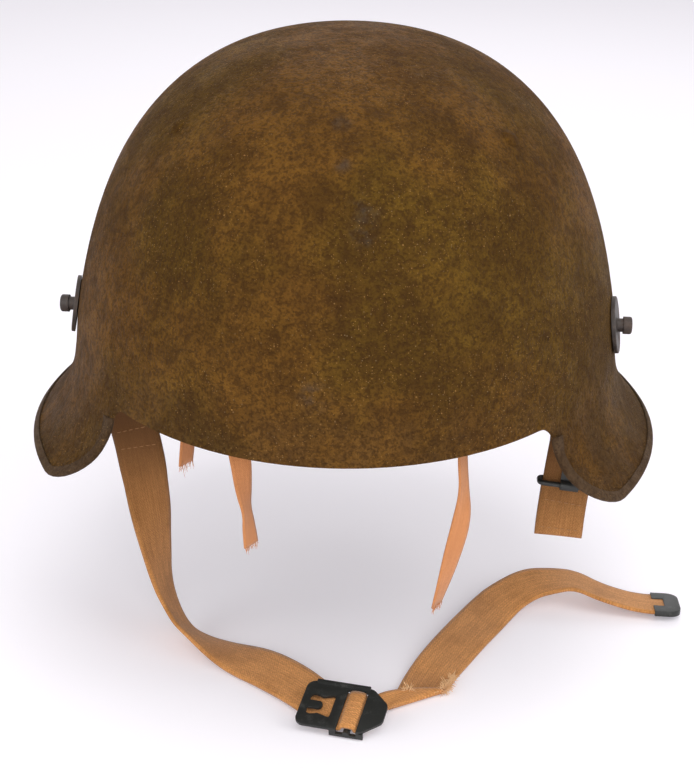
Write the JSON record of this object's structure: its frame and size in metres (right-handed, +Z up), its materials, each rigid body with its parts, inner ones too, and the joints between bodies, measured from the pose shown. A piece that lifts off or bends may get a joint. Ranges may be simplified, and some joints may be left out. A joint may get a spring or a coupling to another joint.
{
  "type": "steel combat helmet",
  "caption": "Deep steel combat helmet with flared side lobes and nape, temple studs for a visor, padded liner and a buckled two-part webbing chin strap",
  "frame": {"origin": "middle of the line through the two visor studs, at the temples", "axes": "+Z up, the brow towards -Y, the wearer's left towards +X"},
  "size_m": [0.3123, 0.303, 0.2884],
  "materials": {
    "shell_paint": "rough, worn and rusted brown paint with fine grit",
    "rim_paint": "worn brown paint over steel strip",
    "dark_steel": "dark blackened steel",
    "packing": "dry fibre",
    "worn_steel": "tarnished steel",
    "webbing": "tan cotton webbing",
    "tape": "salmon-tan cotton tape",
    "canvas": "drab cotton canvas",
    "pad_leather": "brown sheepskin",
    "black_steel": "worn black japanned steel"
  },
  "bodies": {
    "helmet": {"shell": "shell_paint", "rim_binding": "rim_paint", "visor_stud_left": "dark_steel", "visor_stud_right": "dark_steel", "stud_disc_left": "dark_steel", "stud_disc_right": "dark_steel", "stud_packing_left": "packing", "stud_packing_right": "packing", "strap_bracket_left": "worn_steel", "strap_bracket_right": "worn_steel", "tie_tape_right": "tape", "tie_tape_left": "tape", "tie_tape_rear": "tape", "liner_rivets": "shell_paint", "liner_washers": "worn_steel", "pad_hanger_front_left": "canvas", "pad_hanger_front_right": "canvas", "pad_hanger_rear": "canvas", "liner_pad_front_left": "pad_leather", "liner_pad_front_right": "pad_leather", "liner_pad_rear": "pad_leather"},
    "long_strap": {"strap_loop_right": "worn_steel", "chin_strap": "webbing", "strap_tip": "black_steel"},
    "buckle": {"buckle_plate": "black_steel", "buckle_crossbar": "black_steel"},
    "short_strap_set": {"strap_loop_left": "worn_steel", "short_strap": "webbing"},
    "keeper": {"keeper_loop": "black_steel"},
    "hook": {"keeper_hook": "black_steel"}
  },
  "joints": [
    {"name": "long_strap_swing", "type": "hinge", "parent": "helmet", "child": "long_strap", "pos_m": [-0.108, 0, -0.024], "axis": [-1, 0, 0], "range_deg": [0, 35]},
    {"name": "buckle_tilt", "type": "hinge", "parent": "long_strap", "child": "buckle", "pos_m": [0.0117, -0.0728, -0.1613], "axis": [0.1859, 0.9565, 0.225], "range_deg": [-2, 2]},
    {"name": "short_strap_swing", "type": "hinge", "parent": "helmet", "child": "short_strap_set", "pos_m": [0.108, 0, -0.024], "axis": [-1, 0, 0], "range_deg": [-20, 40]},
    {"name": "keeper_slide", "type": "slide", "parent": "short_strap_set", "child": "keeper", "axis": [0.1, 0, 0.995], "range_m": [0, 0.012]},
    {"name": "hook_turn", "type": "hinge", "parent": "keeper", "child": "hook", "pos_m": [0.10405, -0.0044, -0.0775], "axis": [0.995, 0, -0.1], "range_deg": [0, 120]}
  ]
}
